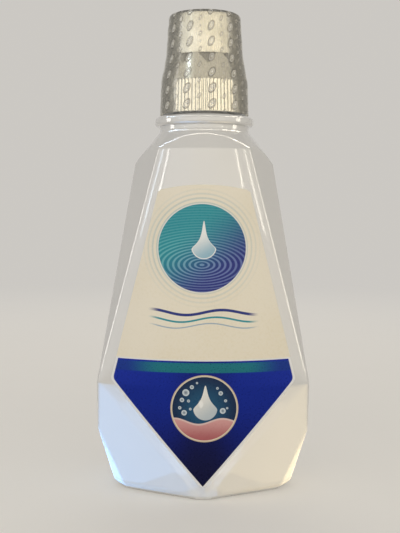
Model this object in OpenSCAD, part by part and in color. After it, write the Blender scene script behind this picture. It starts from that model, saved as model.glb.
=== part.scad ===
// Mouthwash bottle of about one litre, with a screw cap that is also the dosing cup.
// Millimetres, +Z up. The origin is the middle of the standing face, and the front faces -Y.

/* [Body] */
// Width across the widest corners
body_w = 120; // [100:1:144]
// Depth between the middles of the front and back panels, at the widest corners
body_d = 70; // [60:1:84]
// Height from the standing face to the top of the neck bead
bottle_h = 212.8; // [177:0.1:256]
// Height of the widest corners
corner_z = 63.5; // [52:0.5:77]
// Depth of the flat side face at the widest corners
corner_d = 40.6; // [34:0.2:50]
// Wall thickness of the bottle
wall = 1.0; // [0.6:0.1:1.6]
// Radius that rounds every edge of the body
edge_r = 2.0; // [1.8:0.1:4]

/* [Shoulder] */
// Slope of the shoulder, in degrees from upright
shoulder_a = 38.8; // [34:0.2:44]
// Distance from the top of the bead down to the top edge of the front panel
panel_drop = 18.4; // [16:0.1:21]
// Width of the front panel at its top edge
panel_top_w = 50.0; // [44:0.2:56]
// Distance by which the panel leans back from the widest corners up to its top edge
panel_lean = 5.5; // [4:0.1:7]
// Distance from the top of the bead down to the top of the arch over the panel
arch_drop = 11.4; // [10.6:0.1:12.4]
// Distance from the panel's upper corners out to the corners where the shoulder meets the sides
shoulder_out = 14.6; // [11:0.1:16]

/* [Base] */
// Distance from the widest corners in to the corners where the low front facets meet the panel
facet_in = 13.6; // [10:0.1:18]
// Distance by which the ends of the base are drawn in from the widest corners
base_in = 9.1; // [5:0.1:13]
// Depth of the base at its ends
base_end_d = 20; // [14:0.5:26]
// Distance from the ends of the base in to the corners of its front facets
base_corner_in = 6.3; // [5:0.1:10]
// Depth of the base between the corners of its facets
base_corner_d = 35.6; // [32:0.2:40]
// Distance by which the panel's point is drawn back at the base
base_lean = 0.5; // [0:0.1:4]
// Bulge of the base's long edges, between the middle and the facet corner
base_bulge = 1.5; // [0:0.25:2.5]
// Width of the point of the front panel, where it reaches the base
tip_w = 6; // [3:0.5:12]
// Height at which the sides begin to draw in towards the base
draw_in_z = 35.7; // [28:0.1:44]
// Height and depth of the rounding round the standing face
heel = 3.2; // [2:0.1:4]
// Height of the pushed-up middle of the base
push_up = 4; // [2:0.5:6]

/* [Neck] */
// Radius of the neck below the bead
neck_r = 25.5; // [22:0.1:28]
// Length of the upright neck below the bead
neck_len = 3.1; // [2.5:0.1:4]
// Distance by which the bead stands out from the neck
bead_out = 2.8; // [2:0.1:4]
// Height of the bead
bead_h = 5.5; // [5:0.1:6.5]
// Radius of the threaded finish, at the root of the thread
finish_r = 17.9; // [15:0.1:20]
// Height of the finish above the bead
finish_h = 17; // [15:0.1:20]
// Wall thickness of the finish
finish_wall = 2.6; // [1.6:0.1:3]

/* [Cap] */
// Height of the cap
cap_h = 55.8; // [50:0.1:67]
// Gap between the bead and the cap
cap_gap = 1.4; // [1:0.1:2]
// Gap between the cup and the shell's upper cone, at the top
top_gap = 2.1; // [1.6:0.1:3]
// Distance by which the upper cone widens from its top to its lower edge
cone_out = 1.3; // [0.8:0.1:2]
// Gap between the cup's thread part and the shell, at the skirt's upper edge
skirt_gap = 2.55; // [2.2:0.05:4]
// Distance by which the skirt widens from its upper to its lower edge
skirt_out = 0.8; // [0:0.1:1.2]
// Height of the ribbed skirt
skirt_h = 18; // [16:0.1:22]
// Height of the flare between the cone and the skirt
flare_h = 14.3; // [12:0.1:16]
// Distance from the top of the flare down to the tips of its triangular facets
flare_tip_drop = 5.8; // [4.5:0.1:7]
// Number of facets round the flare
flare_n = 10; // [8:1:14]
// Part of the flare's round that is left between the facets
flare_gap = 0.25; // [0.05:0.05:0.5]
// Depth of the facets at the top of the flare
flare_cut = 0.9; // [0.6:0.05:1]
// Angle by which the facets are turned away from the front, in degrees
flare_turn = 4; // [0:1:36]
// Number of ribs round the skirt
rib_n = 72; // [48:4:96]
// Depth of the ribs
rib_depth = 0.35; // [0.2:0.05:0.5]
// Wall thickness of the silver shell
shell_wall = 1.1; // [0.8:0.1:1.2]
// Radius that rounds the top of the cap
cap_edge_r = 1.8; // [1:0.1:2.5]

/* [Dosing cup] */
// Room for the thread, between the finish and the cup
thread_gap = 1.3; // [1.2:0.05:1.5]
// Wall thickness of the cup
cup_wall = 1.1; // [0.9:0.1:1.2]
// Distance by which the cup's mouth lies in from the finish, as a land for the seal
land_w = 1.1; // [0.8:0.1:1.6]
// Distance by which the cup narrows from its mouth to its closed end
cup_taper = 0.9; // [0.5:0.1:1.4]
// Number of ribs that centre the cup in the shell
drive_n = 12; // [8:1:16]
// Thickness of these ribs
drive_t = 1.2; // [0.8:0.1:2]
// Distance of the fill line from the closed end
fill_h = 22; // [12:1:26]

/* [Seal, label and band] */
// Thickness of the sealing ring
seal_t = 1.0; // [0.8:0.1:1.4]
// Width of the sealing ring
seal_w = 2.9; // [2:0.1:3]
// Thickness of the label
label_t = 0.2; // [0.1:0.05:0.3]
// Distance of the label's upper corners from the panel's edges
label_edge_gap = 6.1; // [3:0.1:9]
// Distance from the panel's top edge down to the corners of the label's top edge
label_drop = 23.4; // [16:0.1:50]
// Rise of the label's curved top edge
label_rise = 3; // [1:0.5:5]
// Distance of the label's widest points from the widest corners of the body
label_side_gap = 8.3; // [6:0.1:14]
// Height of the label's widest points above the widest corners of the body
label_side_up = 2.5; // [0:0.5:8]
// Height of the label's lower point
label_tip_z = 6; // [5:0.5:12]
// Radius that rounds the label's lower point and side corners
label_corner_r = 3; // [1:0.5:5]
// Radius that rounds the label's upper corners
label_top_corner_r = 1; // [0.5:0.1:3]
// Thickness of the shrink band
band_t = 0.2; // [0.1:0.05:0.3]
// Width of the band's edge that is turned in over the top of the cap
band_lip = 2.5; // [1:0.5:5]

/* [Hidden] */

// Steps round the true curves, round the balls that round the body's edges, and along small arcs
$fn = 96;
ball_fn = 20;
arc_steps = 8;
// Steps across a panel, along a side, round the shoulder and along an edge of the point
panel_steps = 16;
side_steps = 10;
cone_steps = 64;
point_steps = 10;
base_steps = 4;
// Levels between the panel's top edge and the widest corners, as parts of the way down
panel_levels = [0, 0.33, 0.67, 1];
// Powers that shape the panel's slow lean and the edges of the point
lean_power = 1.4;
point_power = 0.93;
// Clearance between curved faces of different pieces, and between a piece and the skin on it
run_gap = 0.3;
skin_gap = 0.05;
// Depth by which fused forms run into each other, and by which a cut runs past a face
weld = 1;
// How far a corner of the core lies in from the sharp corner, in edge radii along x, y and z
panel_corner_in = [0.65, 1, 0.36];
side_corner_in = [0.94, 1, 0];
widest_corner_in = [1, 0.62, 0.33];
facet_corner_in = 0.48;
base_corner_dir = [0.38, 0.72];
base_end_dir = [0.77, 0.5];
draw_in_dir = 0.6;

half_w = body_w / 2 - edge_r;
half_d = body_d / 2 - edge_r;
base_w = body_w - 2 * base_in;
base_d = body_d - 2 * base_lean;
tip_x = tip_w / 2;
bead_r = neck_r + bead_out;
bead_z = bottle_h - bead_h;
cone_top_z = bead_z - neck_len;
panel_top_z = bottle_h - panel_drop;
mouth_r = finish_r - finish_wall;
lip_z = bottle_h + finish_h;
cap_z = bottle_h + cap_gap;
top_z = cap_z + cap_h;
skirt_z = cap_z + skirt_h;
flare_z = skirt_z + flare_h;

// The body is a convex core whose points lie edge_r inside the edges, swollen by a ball
function mix(a, b, t) = a + (b - a) * t;
function core_cone_r(z) = neck_r - edge_r / cos(shoulder_a) + (cone_top_z - z) * tan(shoulder_a);
function core_cone_z(r) = cone_top_z - (r + edge_r / cos(shoulder_a) - neck_r) / tan(shoulder_a);

// Upper corner of the front panel, side corner of the shoulder and widest corner
panel_z = panel_top_z - panel_corner_in.z * edge_r;
panel_x = panel_top_w / 2 - panel_corner_in.x * edge_r;
panel_y = sqrt(pow(core_cone_r(panel_z), 2) - pow(panel_x, 2));
side_x = panel_top_w / 2 + shoulder_out - side_corner_in.x * edge_r;
side_z = core_cone_z(side_x);
widest_y = corner_d / 2 - widest_corner_in.y * edge_r;
widest_z = corner_z - widest_corner_in.z * edge_r;

// Edge between front panel and side, from the widest corner up to the panel's upper corner
function edge_x(z) = mix(half_w, panel_x, (z - widest_z) / (panel_z - widest_z));
function edge_y(z) = mix(widest_y, panel_y, (z - widest_z) / (panel_z - widest_z));

// Depth of the middle of the front panel: it leans back slowly above and below the widest corners
function middle_y(z) =
    z > widest_z
    ? mix(half_d, half_d - panel_lean, pow((z - widest_z) / (panel_z - widest_z), lean_power))
    : mix(half_d, half_d - base_lean, pow((widest_z - z) / widest_z, lean_power));

// Points across the front panel, and on the edges of the panel's lower point
function panel_point(s, z) =
    [s * edge_x(z), mix(middle_y(z), edge_y(z), s * s), z];
function tip_point(x) =
    let (z = edge_r + (widest_z - edge_r) * pow((x - tip_x) / (half_w - tip_x), point_power))
    [x, mix(middle_y(z), widest_y, pow(x / half_w, 2)), z];

// The flat facet beside the front panel, through the widest corner and both corners of the shoulder
widest = [half_w, widest_y, widest_z];
facet_way = cross([side_x, 0, side_z] - widest, [panel_x, panel_y, panel_z] - widest);

// Points of the shoulder: on the arch, where the flat facet meets the cone, and round the neck
function on_cone(x, y) = [x, y, core_cone_z(norm([x, y]))];
arch_r = core_cone_r(bottle_h - arch_drop);
function arch_point(s) = on_cone(s * panel_x, mix(arch_r, panel_y, s * s));
function side_top_point(t) =
    let (
        a = t * atan2(panel_y, panel_x),
        r = facet_way * (widest - [0, 0, core_cone_z(0)])
            / (facet_way * [cos(a), sin(a), -1 / tan(shoulder_a)])
    )
    on_cone(r * cos(a), r * sin(a));
cone_end_r = neck_r - 2 * edge_r;

// Outline of the base: the point, the bulged edge to the facet corner, and the end of the base,
// all drawn in by a distance
facet_x = body_w / 2 - facet_in - facet_corner_in * edge_r;
base_edge = [base_w / 2 - base_corner_in - tip_x, (base_corner_d - base_d) / 2];
base_edge_out = [-base_edge.y, base_edge.x] / norm(base_edge);
base_corner_drawn = [0.46, 0.88];
base_end_drawn = [1, 0.5];
function base_outline(inset) =
    let (
        tip = [tip_x, base_d / 2 - edge_r - inset],
        corner = [base_w / 2 - base_corner_in, base_corner_d / 2]
            - edge_r * base_corner_dir - inset * base_corner_drawn,
        end = [base_w, base_end_d] / 2 - edge_r * base_end_dir - inset * base_end_drawn
    )
    concat(
        [for (i = [0:base_steps]) let (t = i / base_steps)
            mix(tip, corner, t) + 4 * base_bulge * t * (1 - t) * base_edge_out],
        [end]
    );
draw_in_y = mix(base_end_d, corner_d, draw_in_z / corner_z) / 2 - draw_in_dir * edge_r;

quarter_points = concat(
    [for (i = [0:panel_steps / 2]) arch_point(2 * i / panel_steps)],
    [for (l = panel_levels) for (i = [0:panel_steps / 2])
        panel_point(2 * i / panel_steps, mix(panel_z, widest_z, l))],
    [for (i = [0:point_steps]) tip_point(mix(tip_x, facet_x, i / point_steps))],
    [for (i = [0:side_steps / 2]) side_top_point(2 * i / side_steps)],
    [for (p = base_outline(0)) [p.x, p.y, edge_r + heel]],
    [for (p = base_outline(heel)) [p.x, p.y, edge_r]],
    [[half_w, draw_in_y, draw_in_z]]
);
neck_points = [for (i = [0:cone_steps - 1])
    let (a = 360 * i / cone_steps) on_cone(cone_end_r * cos(a), cone_end_r * sin(a))];
body_points = concat(
    neck_points,
    [for (p = quarter_points) for (u = [-1, 1]) for (v = [-1, 1]) [u * p.x, v * p.y, p.z]]
);

module body_core() {
    hull() polyhedron(body_points, [[for (i = [0:len(body_points) - 1]) i]]);
}

// The body, its surface moved out from the core by a radius
module swollen_body(r) {
    minkowski() {
        body_core();
        sphere(r / cos(180 / ball_fn), $fn = ball_fn);
    }
}

// Outline of the neck from the shoulder up, moved in by a distance for the inside of the wall.
// The bead is round outside, and its upper edge is rounder than its lower one.
bead_low_r = 1.7;
bead_high_r = 2.5;
fillet_r = 4;
root_chamfer = 0.8;
lip_chamfer = 0.6;
function arc(c, r, from, to) =
    [for (i = [0:arc_steps]) let (a = mix(from, to, i / arc_steps)) c + r * [cos(a), sin(a)]];
function bead_outline(inset) = concat(
    arc([bead_r - bead_low_r, bead_z + bead_low_r], bead_low_r - inset, -80, 0),
    arc([bead_r - bead_high_r, bottle_h - bead_high_r], bead_high_r - inset, 0, 90)
);
fillet_half = fillet_r * tan(shoulder_a / 2);
fillet_low = [neck_r + fillet_half * sin(shoulder_a), cone_top_z - fillet_half * cos(shoulder_a)];

module neck_outside() {
    rotate_extrude() polygon(concat(
        [[0, fillet_low.y - 4 * weld], [neck_r - 3 * weld, fillet_low.y - weld], fillet_low],
        arc([neck_r + fillet_r, cone_top_z + fillet_half], fillet_r, 180 + shoulder_a, 180),
        [[neck_r, bead_z]],
        bead_outline(0),
        [[finish_r + root_chamfer, bottle_h], [finish_r, bottle_h + root_chamfer]],
        [[finish_r, lip_z - lip_chamfer], [finish_r - lip_chamfer, lip_z], [0, lip_z]]
    ));
}

module neck_inside() {
    in_r = neck_r - wall;
    rotate_extrude() polygon(concat(
        [[0, cone_top_z - 8 * weld], [in_r, cone_top_z - 3 * weld], [in_r, bead_z + wall]],
        bead_outline(wall),
        [[mouth_r + wall, bottle_h - wall], [mouth_r, bottle_h]],
        [[mouth_r, lip_z + weld], [0, lip_z + weld]]
    ));
}

// Pushed-up middle of the base, thickened upwards by a distance for the inside of the wall.
// Its rim stands upright for a short step above the standing face.
rim_step = 0.5;
rim_in = 2 * heel;
crown_in = rim_in + 2.5 * push_up;
module base_push_up(thick) {
    hull() for (u = [-1, 1]) for (v = [-1, 1]) {
        translate([0, 0, -weld]) linear_extrude(weld + rim_step + thick)
            polygon([for (p = base_outline(rim_in)) [u * p.x, v * p.y]]);
        linear_extrude(push_up + thick)
            polygon([for (p = base_outline(crown_in)) [u * p.x, v * p.y]]);
    }
}

module bottle() {
    color("white") difference() {
        union() {
            swollen_body(edge_r);
            neck_outside();
        }
        difference() {
            swollen_body(edge_r - wall);
            base_push_up(wall);
        }
        neck_inside();
        base_push_up(0);
        translate([-body_w, -body_d, -weld]) cube([2 * body_w, 2 * body_d, weld]);
    }
}

// Die-cut outline of the label: a curved top, sides that follow the panel's edges, a low point
label_top_z = panel_top_z - label_drop;
label_side_z = corner_z + label_side_up;
panel_part = (label_top_z - corner_z) / (panel_top_z - corner_z);
label_top_x = mix(body_w, panel_top_w, panel_part) / 2 - label_edge_gap;
label_side_x = body_w / 2 - label_side_gap;
label_high_z = label_top_z + label_rise;
label_arc_r = (pow(label_top_x, 2) + pow(label_rise, 2)) / (2 * label_rise);
label_far_z = label_high_z + 2 * label_corner_r;
label_far_x = mix(label_side_x, label_top_x, (label_far_z - label_side_z) / (label_top_z - label_side_z));
module label_outline() {
    offset(r = label_top_corner_r) offset(delta = -label_top_corner_r) intersection() {
        offset(r = label_corner_r) offset(delta = -label_corner_r) polygon([
            [label_far_x, label_far_z],
            [label_side_x, label_side_z],
            [0, label_tip_z],
            [-label_side_x, label_side_z],
            [-label_far_x, label_far_z]
        ]);
        translate([0, label_high_z - label_arc_r]) circle(label_arc_r);
    }
}

module front_label() {
    color([0.84, 0.8, 0.72]) intersection() {
        rotate([90, 0, 0]) linear_extrude(body_d) label_outline();
        difference() {
            swollen_body(edge_r + label_t);
            swollen_body(edge_r);
        }
    }
}

// Soft ring that lies on the lip of the bottle and seals the cap
seal_in = 0.1;
module cap_liner() {
    seal_r = finish_r - seal_in;
    color("lightgray") translate([0, 0, lip_z]) difference() {
        cylinder(r = seal_r, h = seal_t);
        translate([0, 0, -weld]) cylinder(r = seal_r - seal_w, h = seal_t + 2 * weld);
    }
}

// Radii of the cup from the finish, and of the shell from the cup
thread_bore_r = finish_r + thread_gap;
cup_skirt_r = thread_bore_r + cup_wall;
cup_r = finish_r - land_w;
cup_end_r = cup_r - cup_taper;
shell_in_top_r = cup_skirt_r + skirt_gap;
shell_in_r = shell_in_top_r + skirt_out;
skirt_top_r = shell_in_top_r + shell_wall + rib_depth;
skirt_r = skirt_top_r + skirt_out;
cap_top_r = cup_end_r + cup_wall + top_gap + shell_wall;
cone_r = cap_top_r + cone_out;
land_z = lip_z + seal_t;
cup_top_z = top_z - shell_wall;

// The dosing cup: threaded part, land over the seal and tapered cup, closed at the top.
// A flange and ribs centre it in the silver shell, and its end rests against the shell's top.
fill_step = 0.3;
cup_chamfer = 1;
cup_in_chamfer = 2;
cup_root = 0.5;
bore_chamfer = 0.6;
cut_past = 0.01;
module dosing_cup() {
    flange_r = shell_in_r - skin_gap;
    drive_r = shell_in_top_r - run_gap;
    cup_out_r = cup_r + cup_wall;
    cup_out_end_r = cup_end_r + cup_wall;
    rib_top_z = land_z + cup_wall;
    drive_z = cap_z + cup_root;
    drive_top_z = min(rib_top_z, skirt_z);
    cup_floor_z = cup_top_z - cup_wall;
    fill_z = cup_floor_z - fill_h;
    fill_r = mix(cup_end_r, cup_r, fill_h / (cup_floor_z - land_z));
    color("aliceblue") difference() {
        union() {
            rotate_extrude() polygon([
                [0, cup_top_z],
                [cup_out_end_r - cup_chamfer, cup_top_z],
                [cup_out_end_r, cup_top_z - cup_chamfer],
                [cup_out_r, rib_top_z + cup_root],
                [cup_out_r + cup_root, rib_top_z],
                [cup_skirt_r, rib_top_z],
                [cup_skirt_r, cap_z + cup_wall],
                [flange_r, cap_z + cup_wall],
                [flange_r, cap_z],
                [0, cap_z]
            ]);
            for (i = [0:drive_n - 1]) rotate(360 * i / drive_n)
                translate([cup_skirt_r - run_gap, -drive_t / 2, drive_z])
                    cube([drive_r - cup_skirt_r + run_gap, drive_t, drive_top_z - drive_z]);
        }
        rotate_extrude() polygon([
            [0, cup_floor_z],
            [cup_end_r - cup_in_chamfer, cup_floor_z],
            [cup_end_r, cup_floor_z - cup_in_chamfer],
            [fill_r, fill_z],
            [fill_r + fill_step, fill_z],
            [cup_r + fill_step, land_z],
            [thread_bore_r, land_z],
            [thread_bore_r, cap_z + bore_chamfer],
            [thread_bore_r + bore_chamfer, cap_z - cut_past],
            [0, cap_z - cut_past]
        ]);
    }
}

// The silver shell: an upper cone, a flare with a ring of sunk triangular facets, a ribbed skirt
flare_step = 0.2;
flare_tip_cut = 0.15;
cone_lip = 0.4;
cone_in = 0.9;
flare_top_r = cone_r + flare_step;
flare_low_r = skirt_top_r + flare_step;
facet_top_r = flare_top_r - flare_cut;
facet_tip_r = mix(flare_top_r, flare_low_r, flare_tip_drop / flare_h) - flare_tip_cut;
facet_lean = atan((facet_tip_r - facet_top_r) / flare_tip_drop);
facet_half_w = flare_top_r * sin(180 / flare_n * (1 - flare_gap));
facet_past = (flare_tip_drop + weld) / flare_tip_drop;

module flare() {
    difference() {
        translate([0, 0, skirt_z]) cylinder(r1 = flare_low_r, r2 = flare_top_r, h = flare_h);
        for (i = [0:flare_n - 1])
            rotate(flare_turn - 90 + 360 * i / flare_n)
                translate([facet_tip_r, 0, flare_z - flare_tip_drop])
                rotate([0, -facet_lean, 0]) rotate([90, 0, 90]) linear_extrude(3 * weld) polygon([
                    [0, 0],
                    [facet_half_w * facet_past, flare_tip_drop * facet_past / cos(facet_lean)],
                    [-facet_half_w * facet_past, flare_tip_drop * facet_past / cos(facet_lean)]
                ]);
    }
}

module cap_shell() {
    in_top_r = cap_top_r - shell_wall;
    in_flare_r = cone_r - shell_wall - cone_in;
    root_r = mix(in_flare_r, facet_top_r, 0.5);
    color("silver") difference() {
        union() {
            rotate_extrude() polygon(concat(
                [[0, flare_z - weld], [root_r, flare_z - weld], [root_r, flare_z]],
                [[cone_r, flare_z], [cone_r, flare_z + cone_lip]],
                arc([cap_top_r - cap_edge_r, top_z - cap_edge_r], cap_edge_r, 0, 90),
                [[0, top_z]]
            ));
            flare();
            translate([0, 0, cap_z])
                linear_extrude(skirt_h, scale = skirt_top_r / skirt_r)
                    polygon([for (i = [0:2 * rib_n - 1])
                        let (a = 180 * i / rib_n, r = skirt_r - (i % 2) * rib_depth) r * [cos(a), sin(a)]]);
        }
        rotate_extrude() polygon([
            [0, cap_z - weld],
            [shell_in_r, cap_z - weld],
            [shell_in_r, cap_z],
            [shell_in_top_r, skirt_z],
            [in_flare_r, flare_z],
            [in_top_r, cup_top_z - cup_chamfer],
            [in_top_r - cup_chamfer, cup_top_z],
            [0, cup_top_z]
        ]);
    }
}

// Clear film shrunk over the cap, with its upper edge turned in over the top
band_from = 4;
module neck_band() {
    function skin(d) = concat(
        [[skirt_r + d, cap_z], [flare_low_r + d, skirt_z], [flare_top_r + d, flare_z]],
        arc([cap_top_r - cap_edge_r, top_z - cap_edge_r], cap_edge_r + d, band_from, 90)
    );
    lip_r = cap_top_r - cap_edge_r - band_lip;
    inner = skin(skin_gap);
    color("whitesmoke", 0.3) rotate_extrude() polygon(concat(
        skin(skin_gap + band_t),
        [[lip_r, top_z + skin_gap + band_t], [lip_r, top_z + skin_gap]],
        [for (i = [len(inner) - 1:-1:0]) inner[i]]
    ));
}

bottle();
front_label();
dosing_cup();
cap_shell();
cap_liner();
neck_band();
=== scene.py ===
import math

import bmesh
import bpy
import numpy as np
from mathutils import Matrix, Vector
from mathutils.bvhtree import BVHTree


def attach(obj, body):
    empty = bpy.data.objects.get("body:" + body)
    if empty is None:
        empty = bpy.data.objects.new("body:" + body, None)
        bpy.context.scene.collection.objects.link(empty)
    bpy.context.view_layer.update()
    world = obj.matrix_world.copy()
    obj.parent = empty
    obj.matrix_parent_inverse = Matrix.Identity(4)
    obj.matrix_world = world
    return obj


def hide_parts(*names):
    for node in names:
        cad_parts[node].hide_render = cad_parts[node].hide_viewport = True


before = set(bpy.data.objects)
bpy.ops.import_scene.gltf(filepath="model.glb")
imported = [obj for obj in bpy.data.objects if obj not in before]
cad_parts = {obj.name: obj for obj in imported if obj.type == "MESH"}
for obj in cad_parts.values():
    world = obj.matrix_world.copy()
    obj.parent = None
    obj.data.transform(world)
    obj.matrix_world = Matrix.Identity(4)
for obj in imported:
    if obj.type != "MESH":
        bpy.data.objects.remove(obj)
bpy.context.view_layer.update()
scene = bpy.context.scene


def mix(a, b, t):
    return a + (b - a) * t


# Sizes are in millimetres, and those of the CAD's solids have their values from the part's source.
# The meshes are scaled to metres
MM = 0.001

# Body: height of the widest corners, depth of the flat side face there, and radius that rounds every edge
BODY_W = 120.0
BODY_D = 70.0
BOTTLE_H = 212.8
CORNER_Z = 63.5
CORNER_D = 40.6
WALL = 1.0
EDGE_R = 2.0

# Shoulder and panels: slope from upright, drops from the bead's top, and powers that shape lean and point
SHOULDER = math.radians(38.8)
SHOULDER_OUT = 14.6
ARCH_DROP = 11.4
PANEL_DROP = 18.4
PANEL_TOP_W = 50.0
PANEL_LEAN = 5.5
LEAN_POWER = 1.4
POINT_POWER = 0.93
PANEL_TOP_Z = BOTTLE_H - PANEL_DROP

# Base: how far its facets and ends are drawn in, and the bulge of its long edges
FACET_IN = 13.6
BASE_IN = 9.1
BASE_END_D = 20.0
BASE_CORNER_IN = 6.3
BASE_CORNER_D = 35.6
BASE_LEAN = 0.5
BASE_BULGE = 1.5
TIP_W = 6.0
DRAW_IN_Z = 35.7
HEEL = 3.2
PUSH_UP = 4.0
RIM_STEP = 0.5
BASE_W = BODY_W - 2 * BASE_IN
BASE_D = BODY_D - 2 * BASE_LEAN

# Neck, bead and finish: the bead has a tighter lower edge, and a fillet leads from the neck to the shoulder
NECK_R = 25.5
NECK_LEN = 3.1
FILLET_R = 4.0
BEAD_OUT = 2.8
BEAD_H = 5.5
BEAD_LOW_R = 1.7
BEAD_HIGH_R = 2.5
FINISH_R = 17.9
FINISH_H = 17.0
FINISH_WALL = 2.6
LIP_R = 0.6
BEAD_R = NECK_R + BEAD_OUT
MOUTH_R = FINISH_R - FINISH_WALL
BEAD_Z = BOTTLE_H - BEAD_H
CONE_TOP_Z = BEAD_Z - NECK_LEN
LIP_Z = BOTTLE_H + FINISH_H

# Thread: two starts, as parts of a turn. The cup's ridges run between those on the finish
THREAD_STARTS = (0.0, 0.5)
THREAD_LEAD = 8.467
THREAD_LOW_Z = BOTTLE_H + 2.9
THREAD_FADE = 0.06
THREAD_GAP = 1.3
FINISH_TURNS = 1.28
FINISH_RIDGE = 0.85
CUP_TURNS = 1.1
CUP_RIDGE = 0.75
CUP_BORE_R = FINISH_R + THREAD_GAP

# Cap, from its lower edge up: ribbed skirt, flare with sunk triangular facets, cone and rounded top
CAP_GAP = 1.4
CAP_H = 55.8
SKIRT_H = 18.0
FLARE_H = 14.3
CAP_Z = BOTTLE_H + CAP_GAP
SKIRT_Z = CAP_Z + SKIRT_H
FLARE_Z = SKIRT_Z + FLARE_H
TOP_Z = CAP_Z + CAP_H
SKIRT_R = 25.1
SKIRT_TOP_R = 24.3
CONE_R = 21.5
CAP_TOP_R = 20.2
CAP_EDGE_R = 1.8
SHELL_WALL = 1.1
RIB_N = 72
RIB_DEPTH = 0.35
FLARE_TOP_R = CONE_R + 0.2
FLARE_LOW_R = SKIRT_TOP_R + 0.2
FLARE_N = 10
FLARE_TURN = 4.0
FLARE_GAP = 0.25
FLARE_CUT = 0.9
FLARE_TIP_DROP = 5.8
FLARE_TIP_CUT = 0.15
FLARE_TIP_Z = FLARE_Z - FLARE_TIP_DROP

# Label: upper corners by the panel's edges, widest points, lower point and the radii that round them
LABEL_T = 0.2
LABEL_EDGE_GAP = 6.1
LABEL_DROP = 23.4
LABEL_RISE = 3.0
LABEL_SIDE_GAP = 8.3
LABEL_SIDE_UP = 2.5
LABEL_TIP_Z = 6.0
LABEL_CORNER_R = 3.0
LABEL_TOP_CORNER_R = 1.0
LABEL_TOP_Z = PANEL_TOP_Z - LABEL_DROP
PANEL_W_THERE = mix(BODY_W, PANEL_TOP_W, (LABEL_TOP_Z - CORNER_Z) / (PANEL_TOP_Z - CORNER_Z))
LABEL_TOP_X = PANEL_W_THERE / 2 - LABEL_EDGE_GAP
LABEL_SIDE_X = BODY_W / 2 - LABEL_SIDE_GAP
LABEL_SIDE_Z = CORNER_Z + LABEL_SIDE_UP

# Shrink band, and its pressed ovals: columns round the cap, pitch of columns and rows, half sizes and tilt
BAND_T = 0.2
BAND_LIP = 2.5
SKIN_GAP = 0.05
MARK_N = 11
MARK_WIDE = 13.2
MARK_TALL = 8.55
MARK_LARGE = (1.55, 2.7)
MARK_SMALL = (0.8, 1.4)
MARK_TILT = -0.5
MARK_SHIFT = -0.29
MARK_Z = CAP_Z - 0.2


# The body is a convex core, swollen by a ball of EDGE_R. A corner of the core lies inside the body's corner
# by a share of EDGE_R in x, y or z, which follows from the faces that meet there
HALF_W = BODY_W / 2 - EDGE_R
HALF_D = BODY_D / 2 - EDGE_R
TIP_X = TIP_W / 2


def cone_r(z):
    """Radius of the core's shoulder at a height."""
    return NECK_R - EDGE_R / math.cos(SHOULDER) + (CONE_TOP_Z - z) * math.tan(SHOULDER)


def cone_z(r):
    """Height of the core's shoulder at a radius."""
    return CONE_TOP_Z - (r + EDGE_R / math.cos(SHOULDER) - NECK_R) / math.tan(SHOULDER)


PANEL_Z = PANEL_TOP_Z - 0.36 * EDGE_R
PANEL_X = PANEL_TOP_W / 2 - 0.65 * EDGE_R
PANEL_Y = math.sqrt(cone_r(PANEL_Z) ** 2 - PANEL_X**2)
SIDE_X = PANEL_TOP_W / 2 + SHOULDER_OUT - 0.94 * EDGE_R
SIDE_Z = cone_z(SIDE_X)
WIDEST_Y = CORNER_D / 2 - 0.62 * EDGE_R
WIDEST_Z = CORNER_Z - 0.33 * EDGE_R
ARCH_R = cone_r(BOTTLE_H - ARCH_DROP)
FACET_X = BODY_W / 2 - FACET_IN - 0.48 * EDGE_R


def up_panel(z):
    """Part of the way up the panel, from the widest corners to its top edge."""
    return (z - WIDEST_Z) / (PANEL_Z - WIDEST_Z)


def middle_y(z):
    """Depth of the panel's middle line: it leans back slowly, both up and down from the widest corners."""
    if z > WIDEST_Z:
        return mix(HALF_D, HALF_D - PANEL_LEAN, up_panel(z) ** LEAN_POWER)
    return mix(HALF_D, HALF_D - BASE_LEAN, ((WIDEST_Z - z) / WIDEST_Z) ** LEAN_POWER)


def on_cone(x, y):
    return (x, y, cone_z(math.hypot(x, y)))


def base_outline(inset):
    """A quarter of the core's base outline, drawn in by inset: the bulging long edge, then the end corner."""
    tip = np.array([TIP_X, BASE_D / 2 - EDGE_R - inset])
    corner = np.array([BASE_W / 2 - BASE_CORNER_IN, BASE_CORNER_D / 2])
    corner = corner - EDGE_R * np.array([0.38, 0.72]) - inset * np.array([0.46, 0.88])
    end = np.array([BASE_W, BASE_END_D]) / 2 - EDGE_R * np.array([0.77, 0.5]) - inset * np.array([1, 0.5])
    edge = np.array([BASE_W / 2 - BASE_CORNER_IN - TIP_X, (BASE_CORNER_D - BASE_D) / 2])
    out = np.array([-edge[1], edge[0]]) / np.linalg.norm(edge)
    line = [mix(tip, corner, t) + 4 * BASE_BULGE * t * (1 - t) * out for t in np.linspace(0, 1, 13)]
    return line + [end]


def panel_points():
    """The panel between its edges, the lunette's arch over it, and the point below it."""
    across = np.linspace(0, 1, 25)
    pts = [on_cone(s * PANEL_X, mix(ARCH_R, PANEL_Y, s * s)) for s in across]
    for z in np.linspace(PANEL_Z, WIDEST_Z, 13):
        edge_x = mix(HALF_W, PANEL_X, up_panel(z))
        edge_y = mix(WIDEST_Y, PANEL_Y, up_panel(z))
        pts += [(s * edge_x, mix(middle_y(z), edge_y, s * s), z) for s in across]
    for x in np.linspace(TIP_X, FACET_X, 41):
        z = EDGE_R + (WIDEST_Z - EDGE_R) * ((x - TIP_X) / (HALF_W - TIP_X)) ** POINT_POWER
        pts.append((x, mix(middle_y(z), WIDEST_Y, (x / HALF_W) ** 2), z))
    return pts


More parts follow.
